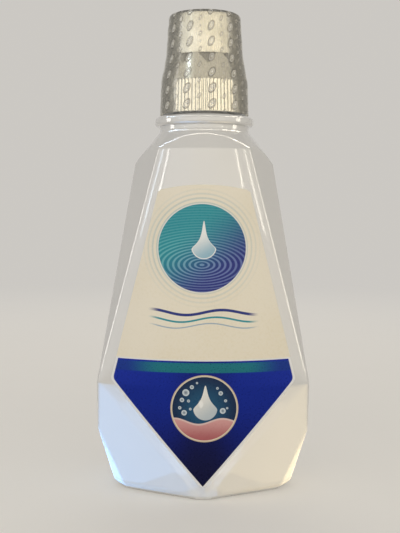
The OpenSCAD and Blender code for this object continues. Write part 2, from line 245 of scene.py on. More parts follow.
def shoulder_edge_points():
    """Where the shoulder's cone meets the plane of the upper side facet, and the widest corner."""
    widest = np.array([HALF_W, WIDEST_Y, WIDEST_Z])
    way = np.cross(np.array([SIDE_X, 0, SIDE_Z]) - widest, np.array([PANEL_X, PANEL_Y, PANEL_Z]) - widest)
    pts = []
    for a in np.linspace(0, math.atan2(PANEL_Y, PANEL_X), 25):
        ray = np.array([math.cos(a), math.sin(a), -1 / math.tan(SHOULDER)])
        r = way.dot(widest - np.array([0, 0, cone_z(0)])) / way.dot(ray)
        pts.append(on_cone(r * math.cos(a), r * math.sin(a)))
    return pts + [tuple(widest)]


def core_points():
    """The core's points: one quarter of the body, mirrored, and the ring at the shoulder's top."""
    pts = panel_points() + shoulder_edge_points()
    pts += [(x, y, EDGE_R + HEEL) for x, y in base_outline(0)]
    pts += [(x, y, EDGE_R) for x, y in base_outline(HEEL)]
    pts.append((HALF_W, mix(BASE_END_D, CORNER_D, DRAW_IN_Z / CORNER_Z) / 2 - 0.6 * EDGE_R, DRAW_IN_Z))
    full = [(u * x, v * y, z) for x, y, z in pts for u in (-1, 1) for v in (-1, 1)]
    end_r = NECK_R - 2 * EDGE_R
    turns = np.linspace(0, 2 * math.pi, 240, endpoint=False)
    return full + [on_cone(end_r * math.cos(a), end_r * math.sin(a)) for a in turns]


def core_tree():
    bm = bmesh.new()
    for p in core_points():
        bm.verts.new(p)
    bmesh.ops.remove_doubles(bm, verts=bm.verts, dist=0.001)
    bmesh.ops.convex_hull(bm, input=bm.verts)
    tree = BVHTree.FromBMesh(bm)
    bm.free()
    return tree


TREE = core_tree()


def meet(start, way, r):
    """Where a ray first comes within r of the core. Each step goes to the plane that touches there."""
    p = Vector(start)
    for _ in range(40):
        off = p - TREE.find_nearest(p)[0]
        dist = off.length
        if dist - r < 2e-4:
            break
        slope = -off.dot(way) / dist
        if slope < 0.02:
            break
        p = p + way * ((dist - r) / slope)
    return p


# Meshes
def new_object(name, data, body, node=None, sharp=60):
    """A smooth piece from vertices and faces, which rides on a body. Edges over sharp degrees stay sharp."""
    verts, faces = data
    mesh = bpy.data.meshes.new(name)
    mesh.from_pydata([Vector(v) * MM for v in verts], [], faces)
    mesh.update()
    mesh.shade_smooth()
    bm = bmesh.new()
    bm.from_mesh(mesh)
    for e in bm.edges:
        if len(e.link_faces) == 2 and e.calc_face_angle(0) > math.radians(sharp):
            e.smooth = False
    bm.to_mesh(mesh)
    bm.free()
    ob = bpy.data.objects.new(name, mesh)
    scene.collection.objects.link(ob)
    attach(ob, body)
    if node:
        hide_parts(node)
    return ob


def lathe(rows, first=None, last=None):
    """Closed surface from rings of equal length, closed by the pole points first and last or on itself."""
    n = len(rows[0])
    verts = [tuple(p) for row in rows for p in row]
    top = len(verts) - n
    faces = []
    for a in range(0, top, n):
        faces += [(a + k, a + (k + 1) % n, a + n + (k + 1) % n, a + n + k) for k in range(n)]
    if first is None:
        faces += [(top + k, top + (k + 1) % n, (k + 1) % n, k) for k in range(n)]
    else:
        verts += [tuple(first), tuple(last)]
        faces += [(len(verts) - 2, (k + 1) % n, k) for k in range(n)]
        faces += [(len(verts) - 1, top + k, top + (k + 1) % n) for k in range(n)]
    return verts, faces


def arc(cx, cy, r, a, b, steps=8):
    turns = np.radians(np.linspace(a, b, steps + 1))
    return [(cx + r * math.cos(t), cy + r * math.sin(t)) for t in turns]


# Bottle: rings of columns, closer together at the sides than at the front and back
COLS = 284
CROWDING = 0.8
PHI = np.linspace(0, 2 * math.pi, COLS, endpoint=False)
THETA = np.arctan2(CROWDING * np.sin(PHI), np.cos(PHI))
QUARTER = THETA[: COLS // 4 + 1]
# Middle of the fan of rays that find the rounded heel: its height, and its distance out from the rim
FAN_Z = 14.0
FAN_OUT = 1.5
# Distance between rings on the body, and on its shoulder
ROW_STEP = 1.05
SHOULDER_STEP = 0.7
SHOULDER_FROM = 186.0
THREAD_STEP = 0.42
# Heights of the rings inside, closer together where the wall curves
UPPER_INSIDE_Z = (*np.arange(201.5, 188, -2.5), 186, 183)
LOWER_INSIDE_Z = (*np.arange(177, 70, -8), 67, 64, 61, 57, 50, 43, 36, 30, 24, 18, 14)


def mirrored(values):
    """Values for the columns of the first quarter, repeated round the body."""
    q = list(values)
    half = q + q[-2::-1]
    return np.array(half + half[-2:0:-1])


def ring_at(radius, z):
    radius = np.broadcast_to(radius, COLS)
    return np.stack([radius * np.cos(THETA), radius * np.sin(THETA), np.broadcast_to(z, COLS)], 1)


def body_ring(z, r):
    """Ring on the body at a height: on its outside for r = EDGE_R, and on its inside for less."""
    radii = []
    for t in QUARTER:
        way = Vector((-math.cos(t), -math.sin(t), 0))
        p = meet(-way * (0.625 * BODY_W) + Vector((0, 0, z)), way, r)
        radii.append(math.hypot(p.x, p.y))
    return ring_at(mirrored(radii), z)


def outline_radius(inset):
    """Radius of the base outline, drawn in by inset, in each column."""
    pts = [tuple(p) for p in base_outline(inset)]
    pts = [(-pts[0][0], pts[0][1])] + pts + [(pts[-1][0], -pts[-1][1])]
    radii = []
    for t in QUARTER:
        c, s = math.cos(t), math.sin(t)
        best = 0
        for (ax, ay), (bx, by) in zip(pts, pts[1:]):
            ex, ey = bx - ax, by - ay
            det = ex * s - ey * c
            if abs(det) < 1e-9:
                continue
            along = (c * ay - s * ax) / det
            if -1e-6 <= along <= 1 + 1e-6:
                best = max(best, (ex * ay - ax * ey) / det)
        radii.append(best)
    return mirrored(radii)


def heel_rings(rim, r, steps):
    """Rings round the heel, from just under the fan's middle down to the rim."""
    rings = []
    for a in np.linspace(0, math.pi / 2, steps + 1)[1:]:
        radii, heights = [], []
        for t, out in zip(QUARTER, rim + FAN_OUT):
            way = Vector((-math.cos(t) * math.cos(a), -math.sin(t) * math.cos(a), math.sin(a)))
            middle = Vector((out * math.cos(t), out * math.sin(t), FAN_Z))
            p = meet(middle - way * (BODY_W / 2), way, r)
            radii.append(math.hypot(p.x, p.y))
            heights.append(p.z)
        rings.append(ring_at(mirrored(radii), mirrored(heights)))
    return rings


def fade(u, turns):
    """Rise of a thread's ridge from its two ends, u turns along it."""
    return min(1, u / THREAD_FADE, (turns - u) / THREAD_FADE)


def thread_height(t, z):
    """How far the thread stands out from the finish at angle t, in radians, and height z."""
    best = 0.0
    for start in THREAD_STARTS:
        for n in range(4):
            u = t / (2 * math.pi) + n - start
            if 0 <= u <= FINISH_TURNS:
                off = abs(z - (THREAD_LOW_Z + THREAD_LEAD * u))
                best = max(best, FINISH_RIDGE * fade(u, FINISH_TURNS) * min(1, max(0, (1.2 - off) / 0.7)))
    return best


def base_rows(rim, crown):
    """The pushed-up base and the standing rim, from the middle out, and the heel."""
    rows = [ring_at(crown * f, PUSH_UP) for f in (0.3, 0.65, 1)]
    rows += [ring_at(mix(crown, rim, f), mix(PUSH_UP, RIM_STEP, f)) for f in (0.5, 1)]
    rows.append(ring_at(rim, 0.0))
    heel = heel_rings(rim[: len(QUARTER)], EDGE_R, 14)[::-1]
    heel[0][:, 2] = 0.0
    return rows + heel


def outside_rows():
    """The body's outside, the neck, the bead and the finish with its thread."""
    half = FILLET_R * math.tan(SHOULDER / 2)
    low_z = CONE_TOP_Z - half * math.cos(SHOULDER)
    rows, z = [], FAN_Z
    while z < low_z - 0.3:
        rows.append(body_ring(z, EDGE_R))
        z += SHOULDER_STEP if z > SHOULDER_FROM else ROW_STEP
    line = [(NECK_R + half * math.sin(SHOULDER), low_z)]
    line += arc(NECK_R + FILLET_R, CONE_TOP_Z + half, FILLET_R, 180 + math.degrees(SHOULDER), 180, 6)[1:]
    line += [(NECK_R, mix(line[-1][1], BEAD_Z, 0.5)), (NECK_R, BEAD_Z)]
    line += arc(BEAD_R - BEAD_LOW_R, BEAD_Z + BEAD_LOW_R, BEAD_LOW_R, -80, 0, 8)
    line += arc(BEAD_R - BEAD_HIGH_R, BOTTLE_H - BEAD_HIGH_R, BEAD_HIGH_R, 0, 90, 10)
    line.append((23.0, BOTTLE_H))
    line += [(FINISH_R + out, BOTTLE_H + up) for out, up in ((1.2, 0), (0.8, 0.05), (0.25, 0.3), (0, 0.8))]
    rows += [ring_at(r, z) for r, z in line]
    turned = np.mod(THETA, 2 * math.pi)
    for z in np.arange(BOTTLE_H + 1.2, LIP_Z - 0.8, THREAD_STEP):
        rows.append(ring_at(FINISH_R + np.array([thread_height(t, z) for t in turned]), z))
    return rows


def inside_rows(rim, crown):
    """The lip, the mouth and the inside of the wall, down to the base."""
    line = arc(FINISH_R - LIP_R, LIP_Z - LIP_R, LIP_R, 0, 90, 5)
    line += [(MOUTH_R + 0.4, LIP_Z), (MOUTH_R + 0.1, LIP_Z - 0.1)]
    line += [(MOUTH_R, z) for z in (LIP_Z - 0.4, mix(BOTTLE_H, LIP_Z, 0.5), BOTTLE_H)]
    line += [(MOUTH_R + 0.3, BOTTLE_H - 0.6), (MOUTH_R + WALL, BOTTLE_H - WALL)]
    line += arc(BEAD_R - BEAD_HIGH_R, BOTTLE_H - BEAD_HIGH_R, BEAD_HIGH_R - WALL, 90, 0, 4)
    line += arc(BEAD_R - BEAD_LOW_R, BEAD_Z + BEAD_LOW_R, BEAD_LOW_R - WALL, 0, -80, 3)
    line += [(NECK_R - WALL, BEAD_Z + WALL), (NECK_R - WALL, CONE_TOP_Z - 0.4)]
    rows = [ring_at(r, z) for r, z in line]
    rows += [body_ring(z, EDGE_R - WALL) for z in UPPER_INSIDE_Z + LOWER_INSIDE_Z]
    rows += heel_rings(rim[: len(QUARTER)], EDGE_R - WALL, 6)
    rows.append(ring_at(rim, WALL + 0.02))
    rows += [ring_at(mix(crown, rim, f), mix(PUSH_UP, RIM_STEP, f) + WALL) for f in (1, 0.5, 0)]
    rows.append(ring_at(crown * 0.5, PUSH_UP + WALL))
    return rows


def make_bottle():
    rim = outline_radius(2 * HEEL)
    crown = outline_radius(2 * HEEL + 2.5 * PUSH_UP)
    rows = base_rows(rim, crown) + outside_rows() + inside_rows(rim, crown)
    data = lathe(rows, (0, 0, PUSH_UP), (0, 0, PUSH_UP + WALL))
    return new_object("bottle_shell", data, "bottle_body", "bottle", sharp=38)


# Label
def corner_line(top, low):
    """Outward normal and offset of the straight line between two points of the outline, as (x, z) values."""
    n = Vector((-(low[1] - top[1]), low[0] - top[0])).normalized()
    return n.x, n.y, n.x * top[0] + n.y * top[1]


LABEL_ROWS = 130
LABEL_HALF_COLS = 44
# Distances of the rows at both ends from the label's lowest and highest points
LABEL_END_ROWS = np.array([0.02, 0.15, 0.4, 0.8])
LABEL_LINES = (
    corner_line((LABEL_TOP_X, LABEL_TOP_Z), (LABEL_SIDE_X, LABEL_SIDE_Z)),
    corner_line((LABEL_SIDE_X, LABEL_SIDE_Z), (0, LABEL_TIP_Z)),
)


def label_half_widths(heights):
    """Half the width of the rounded label at each height, and its lowest and highest points."""
    high = LABEL_TOP_Z + LABEL_RISE
    top_r = (LABEL_TOP_X**2 + LABEL_RISE**2) / (2 * LABEL_RISE)
    dense = np.arange(LABEL_TIP_Z, high, 0.05)

    def grown(width, r, at):
        """The outline, swollen by a disc of radius r."""
        out = []
        for z in at:
            near = (np.abs(dense - z) <= r) & (width >= 0)
            reach = np.sqrt(np.maximum(r**2 - (dense[near] - z) ** 2, 0))
            out.append(float(np.max(width[near] + reach)) if near.any() else -1.0)
        return np.array(out)

    core = np.full(len(dense), 1e3)
    for nx, nz, off in LABEL_LINES:
        core = np.minimum(core, (off - LABEL_CORNER_R - nz * dense) / nx)
    wide = grown(core, LABEL_CORNER_R - LABEL_TOP_CORNER_R, dense)
    under_top = (top_r - LABEL_TOP_CORNER_R) ** 2 - (dense - (high - top_r)) ** 2
    wide = np.where(under_top > 0, np.minimum(wide, np.sqrt(np.maximum(under_top, 0))), -1)
    held = dense[wide >= 0]
    ends = (float(held[0]) - LABEL_TOP_CORNER_R, float(held[-1]) + LABEL_TOP_CORNER_R)
    return np.maximum(grown(wide, LABEL_TOP_CORNER_R, heights), 0), ends


def make_label():
    """A sheet between two skins on the body, from rows of points across the panel."""
    _, (low, high) = label_half_widths([LABEL_SIDE_Z])
    between = np.linspace(low + LABEL_END_ROWS[0], high - LABEL_END_ROWS[0], LABEL_ROWS)[1:-1]
    heights = np.concatenate([low + LABEL_END_ROWS, between, high - LABEL_END_ROWS])
    heights = np.unique(np.round(heights, 4))
    half, _ = label_half_widths(heights)
    verts = []
    shares = np.linspace(0, 1, LABEL_HALF_COLS + 1)
    for r in (EDGE_R + LABEL_T, EDGE_R + 0.01):
        for z, w in zip(heights, half):
            right = [tuple(meet((s * w, -BODY_W / 2, z), Vector((0, 1, 0)), r)) for s in shares]
            verts += [(-x, y, up) for x, y, up in right[:0:-1]] + right
    m, n = len(heights), 2 * LABEL_HALF_COLS + 1
    inner = m * n
    faces = []
    for j in range(m - 1):
        for a in range(j * n, j * n + n - 1):
            faces.append((a, a + 1, a + n + 1, a + n))
            faces.append((inner + a + n, inner + a + n + 1, inner + a + 1, inner + a))
    rim = [*range(n)] + [j * n + n - 1 for j in range(1, m)]
    rim += [(m - 1) * n + k for k in range(n - 2, -1, -1)] + [j * n for j in range(m - 2, 0, -1)]
    faces += [(b, a, inner + a, inner + b) for a, b in zip(rim, rim[1:] + rim[:1])]
    return new_object("label_sheet", (verts, faces), "bottle_body", "front_label", sharp=50)


# Silver shell of the cap
CAP_COLS = 11 * RIB_N
CAP_THETA = np.linspace(0, 2 * math.pi, CAP_COLS, endpoint=False)
GROOVE_POWER = 1.4
# Depth and radius of the round recess in the cap's top
RECESS = 0.3
RECESS_R = CAP_TOP_R - 4.2
FLARE_STEP = 0.15


def turned_ring(radius, z, theta):
    return np.stack([radius * np.cos(theta), radius * np.sin(theta), np.broadcast_to(z, len(theta))], 1)


def skirt_rows():
    """The ribbed skirt. Its grooves run out at both of its rounded edges."""
    phase = np.mod(CAP_THETA * RIB_N / (2 * math.pi), 1)
    groove = RIB_DEPTH * (0.5 - 0.5 * np.cos(2 * math.pi * phase)) ** GROOVE_POWER

    def skirt(z, depth=1.0, off=0.0):
        return mix(SKIRT_R, SKIRT_TOP_R, (z - CAP_Z) / (SKIRT_Z - CAP_Z)) - groove * depth - off

    rows = [(skirt(CAP_Z, 0.9, 0.45), CAP_Z), (skirt(CAP_Z, 1, 0.12), CAP_Z + 0.12)]
    rows += [(skirt(z), z) for z in (CAP_Z + 0.4, *np.linspace(CAP_Z + 2, SKIRT_Z - 0.9, 9))]
    return rows + [(skirt(SKIRT_Z - low, depth), SKIRT_Z - low) for low, depth in ((0.35, 0.6), (0.1, 0.2))]


def flare_rows():
    """The flare: a cone with a ring of sunk triangular facets, which point down."""
    top_r = FLARE_TOP_R - FLARE_CUT
    tip_r = mix(FLARE_TOP_R, FLARE_LOW_R, FLARE_TIP_DROP / (FLARE_Z - SKIRT_Z)) - FLARE_TIP_CUT
    lean = math.atan((tip_r - top_r) / FLARE_TIP_DROP)
    half_w = FLARE_TOP_R * math.sin(math.pi / FLARE_N * (1 - FLARE_GAP))
    spread = math.atan(half_w / (FLARE_TIP_DROP / math.cos(lean)))
    pitch = 2 * math.pi / FLARE_N
    swing = np.mod(CAP_THETA - math.radians(FLARE_TURN - 90) + pitch / 2, pitch) - pitch / 2

    def flare(z):
        up = z - FLARE_TIP_Z
        cone = mix(FLARE_LOW_R, FLARE_TOP_R, (z - SKIRT_Z) / (FLARE_Z - SKIRT_Z))
        flat = (tip_r - up * math.tan(lean)) / np.cos(swing)
        off = np.abs(cone * np.sin(swing)) * math.cos(spread) - up / math.cos(lean) * math.sin(spread)
        wall = np.clip(-off / 0.22, 0, 1)
        return cone - np.maximum(cone - flat, 0) * wall * wall * (3 - 2 * wall)

    levels = [*np.linspace(SKIRT_Z + 0.15, FLARE_TIP_Z - 0.3, 6)]
    levels += [*np.arange(FLARE_TIP_Z - FLARE_STEP, FLARE_Z - 0.1, FLARE_STEP), FLARE_Z - 0.02]
    return [(FLARE_LOW_R - 0.1, SKIRT_Z)] + [(flare(z), z) for z in levels]


def make_cap():
    edge_z = TOP_Z - CAP_EDGE_R
    under = TOP_Z - SHELL_WALL
    in_low, in_high = SKIRT_R - RIB_DEPTH - SHELL_WALL, SKIRT_TOP_R - RIB_DEPTH - SHELL_WALL
    in_top = CAP_TOP_R - SHELL_WALL
    line = [(8, under), (in_top - 1, under), (in_top, under - 1), (CONE_R - SHELL_WALL - 0.9, FLARE_Z)]
    line += [(in_high, SKIRT_Z), (in_low, CAP_Z + 0.3), (in_low, CAP_Z)]
    line += skirt_rows() + flare_rows()
    line += [(CONE_R + 0.02, FLARE_Z), (CONE_R, FLARE_Z + 0.1)]
    for z in np.linspace(FLARE_Z + 0.4, edge_z, 14):
        line.append((mix(CONE_R, CAP_TOP_R, (z - FLARE_Z) / (edge_z - FLARE_Z)), z))
    line += arc(CAP_TOP_R - CAP_EDGE_R, edge_z, CAP_EDGE_R, 0, 90)[1:]
    line += [(CAP_TOP_R - 3.2, TOP_Z - 0.02), (CAP_TOP_R - 3.6, TOP_Z - 0.25)]
    line += [(RECESS_R, TOP_Z - RECESS), (8, TOP_Z - RECESS)]
    data = lathe([turned_ring(r, z, CAP_THETA) for r, z in line], (0, 0, under), (0, 0, TOP_Z - RECESS))
    return new_object("cap_silver", data, "cap", "cap_shell", sharp=11)


# Shrink band
BAND_COLS = 560
# How far the ovals' rims and middles, the small ovals and the slow waves stand out
MARK_RIM = 0.11
MARK_CORE = 0.06
SMALL_RIM = 0.07
BAND_WAVE = 0.05


def band_line(d, step):
    """Profile at a distance d from the shell, over its upper edge, with points closer together than step."""
    line = [(SKIRT_R + d, CAP_Z), (FLARE_LOW_R + d, SKIRT_Z), (FLARE_TOP_R + d, FLARE_Z)]
    line += arc(CAP_TOP_R - CAP_EDGE_R, TOP_Z - CAP_EDGE_R, CAP_EDGE_R + d, 4, 90)
    line.append((CAP_TOP_R - CAP_EDGE_R - BAND_LIP, TOP_Z + d))
    out = [line[0]]
    for (ar, az), (br, bz) in zip(line, line[1:]):
        n = max(1, int(math.hypot(br - ar, bz - az) / step))
        out += [(mix(ar, br, i / n), mix(az, bz, i / n)) for i in range(1, n + 1)]
    return out


def pressed(theta, z):
    """How far the film's small ovals stand out at a height, in each column."""
    turn = np.arctan2(np.cos(theta), -np.sin(theta)) * MARK_N / (2 * math.pi)
    c, s = math.cos(MARK_TILT), math.sin(MARK_TILT)

    def oval(shift, lift, size):
        a = (np.mod(turn + 0.5 + shift, 1) - 0.5) * MARK_WIDE
        b = (np.mod((z - MARK_Z) / MARK_TALL + lift, 1) - 0.5) * MARK_TALL
        return np.hypot((a * c + b * s) / size[0], (b * c - a * s) / size[1])

    large = oval(MARK_SHIFT, 0.0, MARK_LARGE)
    small = oval(MARK_SHIFT + 0.5, 0.5, MARK_SMALL)
    out = MARK_RIM * np.exp(-(((large - 0.95) / 0.17) ** 2)) + MARK_CORE * np.exp(-((large / 0.35) ** 2))
    return out + SMALL_RIM * np.exp(-(((small - 0.8) / 0.35) ** 2))


def make_band():
    theta = np.linspace(0, 2 * math.pi, BAND_COLS, endpoint=False)
    outer, inner = band_line(SKIN_GAP + BAND_T, 0.42), band_line(SKIN_GAP + 0.06, 2.0)
    rows = []
    for line, depth in ((outer, 1.0), (inner[::-1], 0.0)):
        for r, z in line:
            up = min(1, max(0, (z - CAP_Z) / (TOP_Z - CAP_Z)))
            ends = min(1, max(0, (z - CAP_Z) / 0.8)) * min(1, max(0, (TOP_Z - 1.4 - z) / 1.2))
            wave = BAND_WAVE * (np.sin(5 * theta + 0.5 * z) * math.sin(math.pi * up) ** 0.5 - 1)
            rows.append(turned_ring(r + wave + depth * ends * pressed(theta, z), z, theta))
    return new_object("clear_band", lathe(rows), "cap", "neck_band", sharp=60)


# Thread in the cup
def make_cup_thread():
    """Two ridges that run between the ridges of the bottle's thread."""
    verts, faces = [], []
    steps = 132
    root = CUP_BORE_R + 0.15
    for start in THREAD_STARTS:
        base = len(verts)
        for u in CUP_TURNS * np.arange(steps + 1) / steps:
            t = 2 * math.pi * (u + start)
            z = THREAD_LOW_Z + THREAD_LEAD * (u + 0.25)
            crest = CUP_BORE_R - CUP_RIDGE * max(fade(u, CUP_TURNS), 0.03)
            for r, up in ((root, -0.75), (root, 0.75), (crest, 0.32), (crest, -0.32)):
                verts.append((r * math.cos(t), r * math.sin(t), z + up))
        for a in range(base, base + 4 * steps, 4):
            faces += [(a + (k + 1) % 4, a + k, a + 4 + k, a + 4 + (k + 1) % 4) for k in range(4)]
        end = base + 4 * steps
        faces += [(base, base + 1, base + 2, base + 3), (end + 3, end + 2, end + 1, end)]
    return new_object("cup_thread", (verts, faces), "cap", sharp=30)


bottle = make_bottle()
label = make_label()
cap = make_cap()
band = make_band()
cup_thread = make_cup_thread()


# Materials
def rgb(r, g, b):
    return (r, g, b, 1.0)


class Tree:
    """Node tree of one material, in millimetres. A value is a socket or a number."""

    def __init__(self, name):
        self.mat = bpy.data.materials.new(name)
        self.mat.use_nodes = True
        self.nt = self.mat.node_tree
        self.nt.nodes.clear()
        self.out = self.node("ShaderNodeOutputMaterial").inputs[0]
        scale = self.node("ShaderNodeVectorMath", operation="SCALE")
        self.put(scale.inputs[0], self.node("ShaderNodeTexCoord").outputs["Object"])
        self.put(scale.inputs["Scale"], 1 / MM)
        self.place = scale.outputs[0]
        split = self.node("ShaderNodeSeparateXYZ")
        self.put(split.inputs[0], self.place)
        self.x, self.y, self.z = split.outputs

    def node(self, kind, **props):
        n = self.nt.nodes.new(kind)
        for k, v in props.items():
            setattr(n, k, v)
        return n

    def put(self, socket, value):
        if isinstance(value, bpy.types.NodeSocket):
            self.nt.links.new(value, socket)
        elif value is not None:
            socket.default_value = value

    def math(self, op, a, b=None, c=None, clamp=False):
        n = self.node("ShaderNodeMath", operation=op, use_clamp=clamp)
        for s, v in zip(n.inputs, (a, b, c)):
            self.put(s, v)
        return n.outputs[0]

    def add(self, a, b):
        return self.math("ADD", a, b)

    def sub(self, a, b):
        return self.math("SUBTRACT", a, b)

    def mul(self, a, b):
        return self.math("MULTIPLY", a, b)

    def mul_add(self, a, b, c, clamp=False):
        return self.math("MULTIPLY_ADD", a, b, c, clamp)

    def length(self, a, b):
        return self.math("SQRT", self.mul_add(a, a, self.mul(b, b)))

    def step(self, value, low, high, a=0.0, b=1.0):
        """Smooth step from a to b while value goes from low to high."""
        n = self.node("ShaderNodeMapRange", interpolation_type="SMOOTHSTEP")
        for s, v in zip(n.inputs, (value, low, high, a, b)):
            self.put(s, v)
        return n.outputs[0]

    def between(self, value, low, high, rise, fall):
        """1 from low to high, with a soft rise above low and a soft fall below high."""
        return self.mul(self.step(value, low, low + rise), self.step(value, high - fall, high, 1.0, 0.0))

    def blend(self, share, a, b):
        n = self.node("ShaderNodeMix", data_type="RGBA")
        for s, v in zip((n.inputs[0], n.inputs[6], n.inputs[7]), (share, a, b)):
            self.put(s, v)
        return n.outputs[2]

    def noise(self, scale, detail=3.0, rough=0.5, stretch=(1, 1, 1)):
        n = self.node("ShaderNodeTexNoise")
        stretched = self.node("ShaderNodeVectorMath", operation="MULTIPLY")
        self.put(stretched.inputs[0], self.place)
        self.put(stretched.inputs[1], stretch)
        self.put(n.inputs["Vector"], stretched.outputs[0])
        for name, value in (("Scale", scale), ("Detail", detail), ("Roughness", rough)):
            self.put(n.inputs[name], value)
        return n.outputs["Fac"]

    def bump(self, height, distance, strength, normal=None):
        n = self.node("ShaderNodeBump")
        self.put(n.inputs["Height"], height)
        self.put(n.inputs["Distance"], distance)
        self.put(n.inputs["Strength"], strength)
        self.put(n.inputs["Normal"], normal)
        return n.outputs[0]

    def shader(self, kind, **values):
        n = self.node("ShaderNode" + kind)
        for k, v in values.items():
            self.put(n.inputs[k.replace("_", " ")], v)
        return n.outputs[0]

    def mix_shader(self, share, a, b):
        n = self.node("ShaderNodeMixShader")
        for s, v in zip(n.inputs, (share, a, b)):
            self.put(s, v)
        return n.outputs[0]

    def finish(self, shader):
        self.put(self.out, shader)
        return self.mat


def assign(ob, mat):
    ob.data.materials.clear()
    ob.data.materials.append(mat)
    for s in ob.material_slots:
        s.link = "OBJECT"
        s.material = mat


def bottle_material():
    """White blown plastic: slow ripples of the wall, fine grain, and the parting line at both sides."""
    t = Tree("white_blown_plastic")
    cloud = t.noise(0.02, 2)
    fine = t.noise(0.35, 3)
    colour = t.blend(t.step(cloud, 0.3, 0.7), rgb(0.695, 0.69, 0.68), rgb(0.72, 0.71, 0.695))
    seam = t.step(t.math("ABSOLUTE", t.y), 0.0, 0.22, 1.0, 0.0)
    normal = t.bump(t.noise(0.035, 1.5, 0.4), 0.0006, 0.3)
    normal = t.bump(seam, 0.00012, 0.5, normal)
    normal = t.bump(fine, 0.00001, 0.25, normal)
    rough = t.step(fine, 0.2, 0.8, 0.1, 0.15)
    return t.finish(t.shader(
        "BsdfPrincipled", Base_Color=colour, Roughness=rough, Normal=normal, IOR=1.5,
        Coat_Weight=1.0, Coat_Roughness=0.035,
        Subsurface_Weight=0.08, Subsurface_Radius=(0.003, 0.003, 0.003),
    ))


def silver_material():
    """Metallised plastic with fine upright brushing, and a warm tint that is partly painted warm light.
    Painted shade lies under the cone's lower edge and in the flare's sunk facets, and a dark line runs round
    the cap's upper edge.
    """
    t = Tree("silver_metallised_plastic")
    brushed = t.noise(0.5, 4, 0.6, (1, 1, 0.06))
    cloud = t.noise(0.09, 2)
    across = t.length(t.x, t.y)
    # base colour: its warm tint is partly painted warm light
    colour = t.blend(t.step(cloud, 0.3, 0.7), rgb(0.77, 0.73, 0.61), rgb(0.82, 0.78, 0.66))
    # painted shadow just under the cone's lower edge
    under = t.mul(t.between(t.z, FLARE_Z - 0.7, FLARE_Z + 0.05, 0.65, 0.05), 0.35)
    colour = t.blend(under, colour, rgb(0.2, 0.19, 0.17))
    # painted shade in the sunk facets of the flare, darker by how far they lie below its cone
    slope = (FLARE_TOP_R - FLARE_LOW_R) / (FLARE_Z - SKIRT_Z)
    sunk = t.sub(t.mul_add(t.sub(t.z, SKIRT_Z), slope, FLARE_LOW_R), across)
    facets = t.mul(t.between(t.z, FLARE_TIP_Z - 0.6, FLARE_Z, 0.4, 0.05), t.step(sunk, 0.06, 0.75, 0.0, 0.5))
    colour = t.blend(facets, colour, rgb(0.3, 0.28, 0.24))
    # a dark line round the cap's upper edge
    outer = t.step(across, CAP_TOP_R - 2.0, CAP_TOP_R - 1.6)
    rim = t.mul(t.between(t.z, TOP_Z - 1.5, TOP_Z - 0.04, 0.5, 0.08), outer)
    colour = t.blend(rim, colour, rgb(0.04, 0.036, 0.03))
    rough = t.step(brushed, 0.25, 0.75, 0.22, 0.3)
    normal = t.bump(brushed, 0.00002, 0.5)
    metal = t.shader("BsdfPrincipled", Base_Color=colour, Metallic=1.0, Roughness=rough, Normal=normal)
    return t.finish(metal)


def plastic_material(name, colour, rough, **more):
    t = Tree(name)
    fine = t.noise(0.6, 3)
    tint = t.blend(t.step(fine, 0.3, 0.7), rgb(*colour), rgb(*[0.95 * c for c in colour]))
    rough = t.step(fine, 0.2, 0.8, rough, rough + 0.08)
    normal = t.bump(fine, 0.00001, 0.4)
    return t.finish(t.shader("BsdfPrincipled", Base_Color=tint, Roughness=rough, Normal=normal, **more))


class Artwork(Tree):
    """Flat artwork in x and z. A shape is a signed distance, which is below zero inside."""

    def inside(self, d, blur=0.09):
        return self.step(d, -blur, blur, 1.0, 0.0)

    def radius(self, cx, cz, squash=1.0):
        return self.length(self.sub(self.x, cx), self.mul(self.sub(self.z, cz), squash))

    def disc(self, cx, cz, r):
        return self.sub(self.radius(cx, cz), r)

    def drop(self, cx, cz, foot, narrow, stretch, r):
        """A round foot that narrows to a point at the top."""
        up = self.sub(self.z, cz)
        across = self.mul(self.sub(self.x, cx), self.step(up, foot, 15.0, 1.0, narrow))
        low, tall = self.length(across, up), self.length(across, self.mul(up, stretch))
        upper = self.step(up, -0.01, 0.01)
        return self.sub(self.mul_add(self.sub(tall, low), upper, low), r)

    def paint(self, share, colour):
        self.colour = self.blend(share, self.colour, colour)


# Label artwork: the disc's middle, and the round picture's middle and radius
DISC_X = -1.0
DISC_Z = 139.5
DISC_R = 24.0
PICTURE_X = 0.7
PICTURE_Z = 51.6
PICTURE_R = 18.1
FIELD_Z = 77.8
# Waves from the top down: height, half width and colour
WAVES = (
    (104.5, 0.75, (0.02, 0.035, 0.22)),
    (100.6, 0.5, (0.03, 0.3, 0.36)),
    (97.2, 0.32, (0.35, 0.45, 0.55)),
)
# Bubbles in the picture: x, z and radius
BUBBLES = (
    (-9.5, 60.5, 1.9), (-6.2, 63.6, 1.1), (-11.6, 56.4, 1.2), (-8.0, 55.9, 0.8), (-12.8, 52.0, 0.9),
    (9.6, 60.2, 1.2), (12.3, 56.0, 0.8), (-10.4, 49.3, 1.5), (-7.0, 51.4, 0.7), (10.8, 50.4, 1.6),
    (7.8, 63.0, 0.7), (-3.4, 65.9, 0.6), (13.2, 51.9, 0.6),
)


def paint_pearl(t, fine):
    """Pale pearl ground with fine flakes."""
    t.colour = t.blend(t.step(t.noise(0.02, 1), 0.35, 0.65), rgb(0.84, 0.77, 0.61), rgb(0.87, 0.81, 0.68))
    t.paint(t.step(fine, 0.3, 0.75, 0.0, 0.6), rgb(0.87, 0.81, 0.69))
    t.paint(t.step(t.noise(3.0, 1), 0.55, 0.75, 0.0, 0.2), rgb(0.86, 0.84, 0.8))


